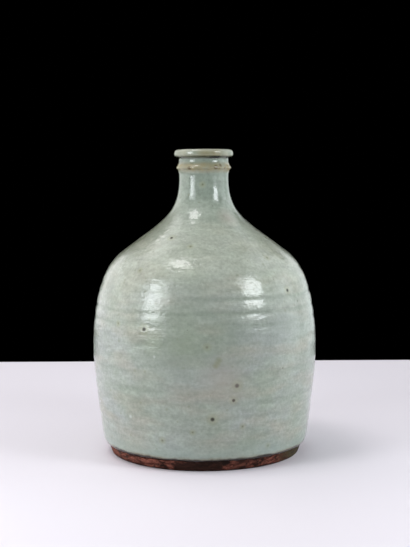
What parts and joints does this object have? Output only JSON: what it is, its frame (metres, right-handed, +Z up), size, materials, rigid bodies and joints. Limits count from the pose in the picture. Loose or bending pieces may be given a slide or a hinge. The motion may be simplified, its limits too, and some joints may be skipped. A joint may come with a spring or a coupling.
{
  "type": "turned bottle",
  "caption": "Wheel-turned stoneware bottle: broad rounded shoulder, short neck with a string ring and flat lip, celadon glaze outside and in, bare clay foot.",
  "frame": {"origin": "centre of the foot ring, on the surface that the bottle stands on", "axes": "+Z up along the throwing axis, from the foot to the mouth"},
  "size_m": [0.185, 0.185, 0.2492],
  "materials": {
    "bare_clay": "matte",
    "body_clay": "matte",
    "celadon_glaze": "gloss",
    "liner_glaze": "gloss"
  },
  "bodies": {
    "root": {"foot_disc": "bare_clay", "lower_wall": "body_clay", "shoulder": "body_clay", "neck": "body_clay", "outer_glaze": "celadon_glaze", "inner_glaze": "liner_glaze"}
  },
  "joints": []
}
